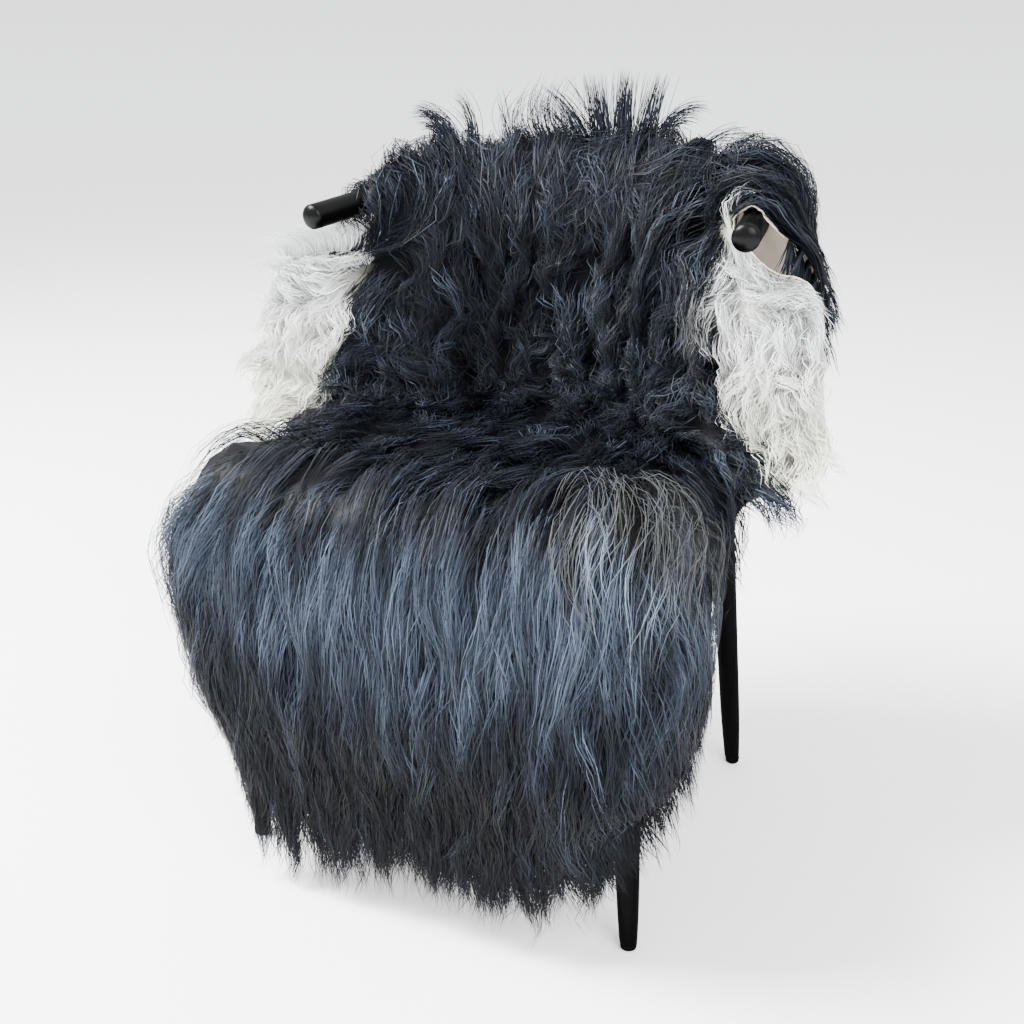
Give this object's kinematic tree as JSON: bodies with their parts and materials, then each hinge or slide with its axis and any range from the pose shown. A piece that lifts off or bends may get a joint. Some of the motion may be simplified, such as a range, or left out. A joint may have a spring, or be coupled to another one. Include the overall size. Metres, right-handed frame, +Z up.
{
  "type": "sheepskin rug draped over a chair",
  "caption": "Long-haired black and white sheepskin rug draped over the back, seat and front of a plain black armchair with slim tapered legs.",
  "frame": {"origin": "on the floor, in the middle of the whole object's footprint", "axes": "+Z up, the chair faces -Y, +X to the right of someone facing it"},
  "size_m": [0.818, 0.6582, 0.8743],
  "materials": {
    "wool_black": "long glossy black wool with a blue-grey sheen",
    "wool_white": "long soft white wool, creamy towards the bottom",
    "hide_leather": "matt cream and tan tanned flesh side",
    "black_wood": "black lacquer, satin",
    "glide": "black plastic glide"
  },
  "bodies": {
    "root": {"arm_rail": "black_wood", "crown_tufts_left": "wool_black", "crown_tufts_middle": "wool_black", "drop_locks_left": "wool_black", "drop_locks_right": "wool_black", "flank_locks_left": "wool_white", "flank_locks_right": "wool_white", "glide_front_left": "glide", "glide_front_right": "glide", "glide_rear_left": "glide", "glide_rear_right": "glide", "hem_locks_left": "wool_black", "hem_locks_middle": "wool_black", "hem_locks_right": "wool_black", "leg_front_left": "black_wood", "leg_front_right": "black_wood", "leg_rear_left": "black_wood", "leg_rear_right": "black_wood", "pelt": "wool_black", "rear_locks_left": "wool_black", "rear_locks_middle_left": "wool_black", "rear_locks_middle_right": "wool_black", "rear_locks_right": "wool_black", "seat": "black_wood", "seat_locks_left": "wool_black", "seat_locks_right": "wool_black", "shoulder_locks_left": "wool_black", "shoulder_locks_right": "wool_black", "spindle_1": "black_wood", "spindle_2": "black_wood", "spindle_3": "black_wood", "spindle_4": "black_wood", "spindle_5": "black_wood", "spindle_6": "black_wood", "spindle_7": "black_wood", "spindle_8": "black_wood", "spindle_9": "black_wood"}
  },
  "joints": []
}
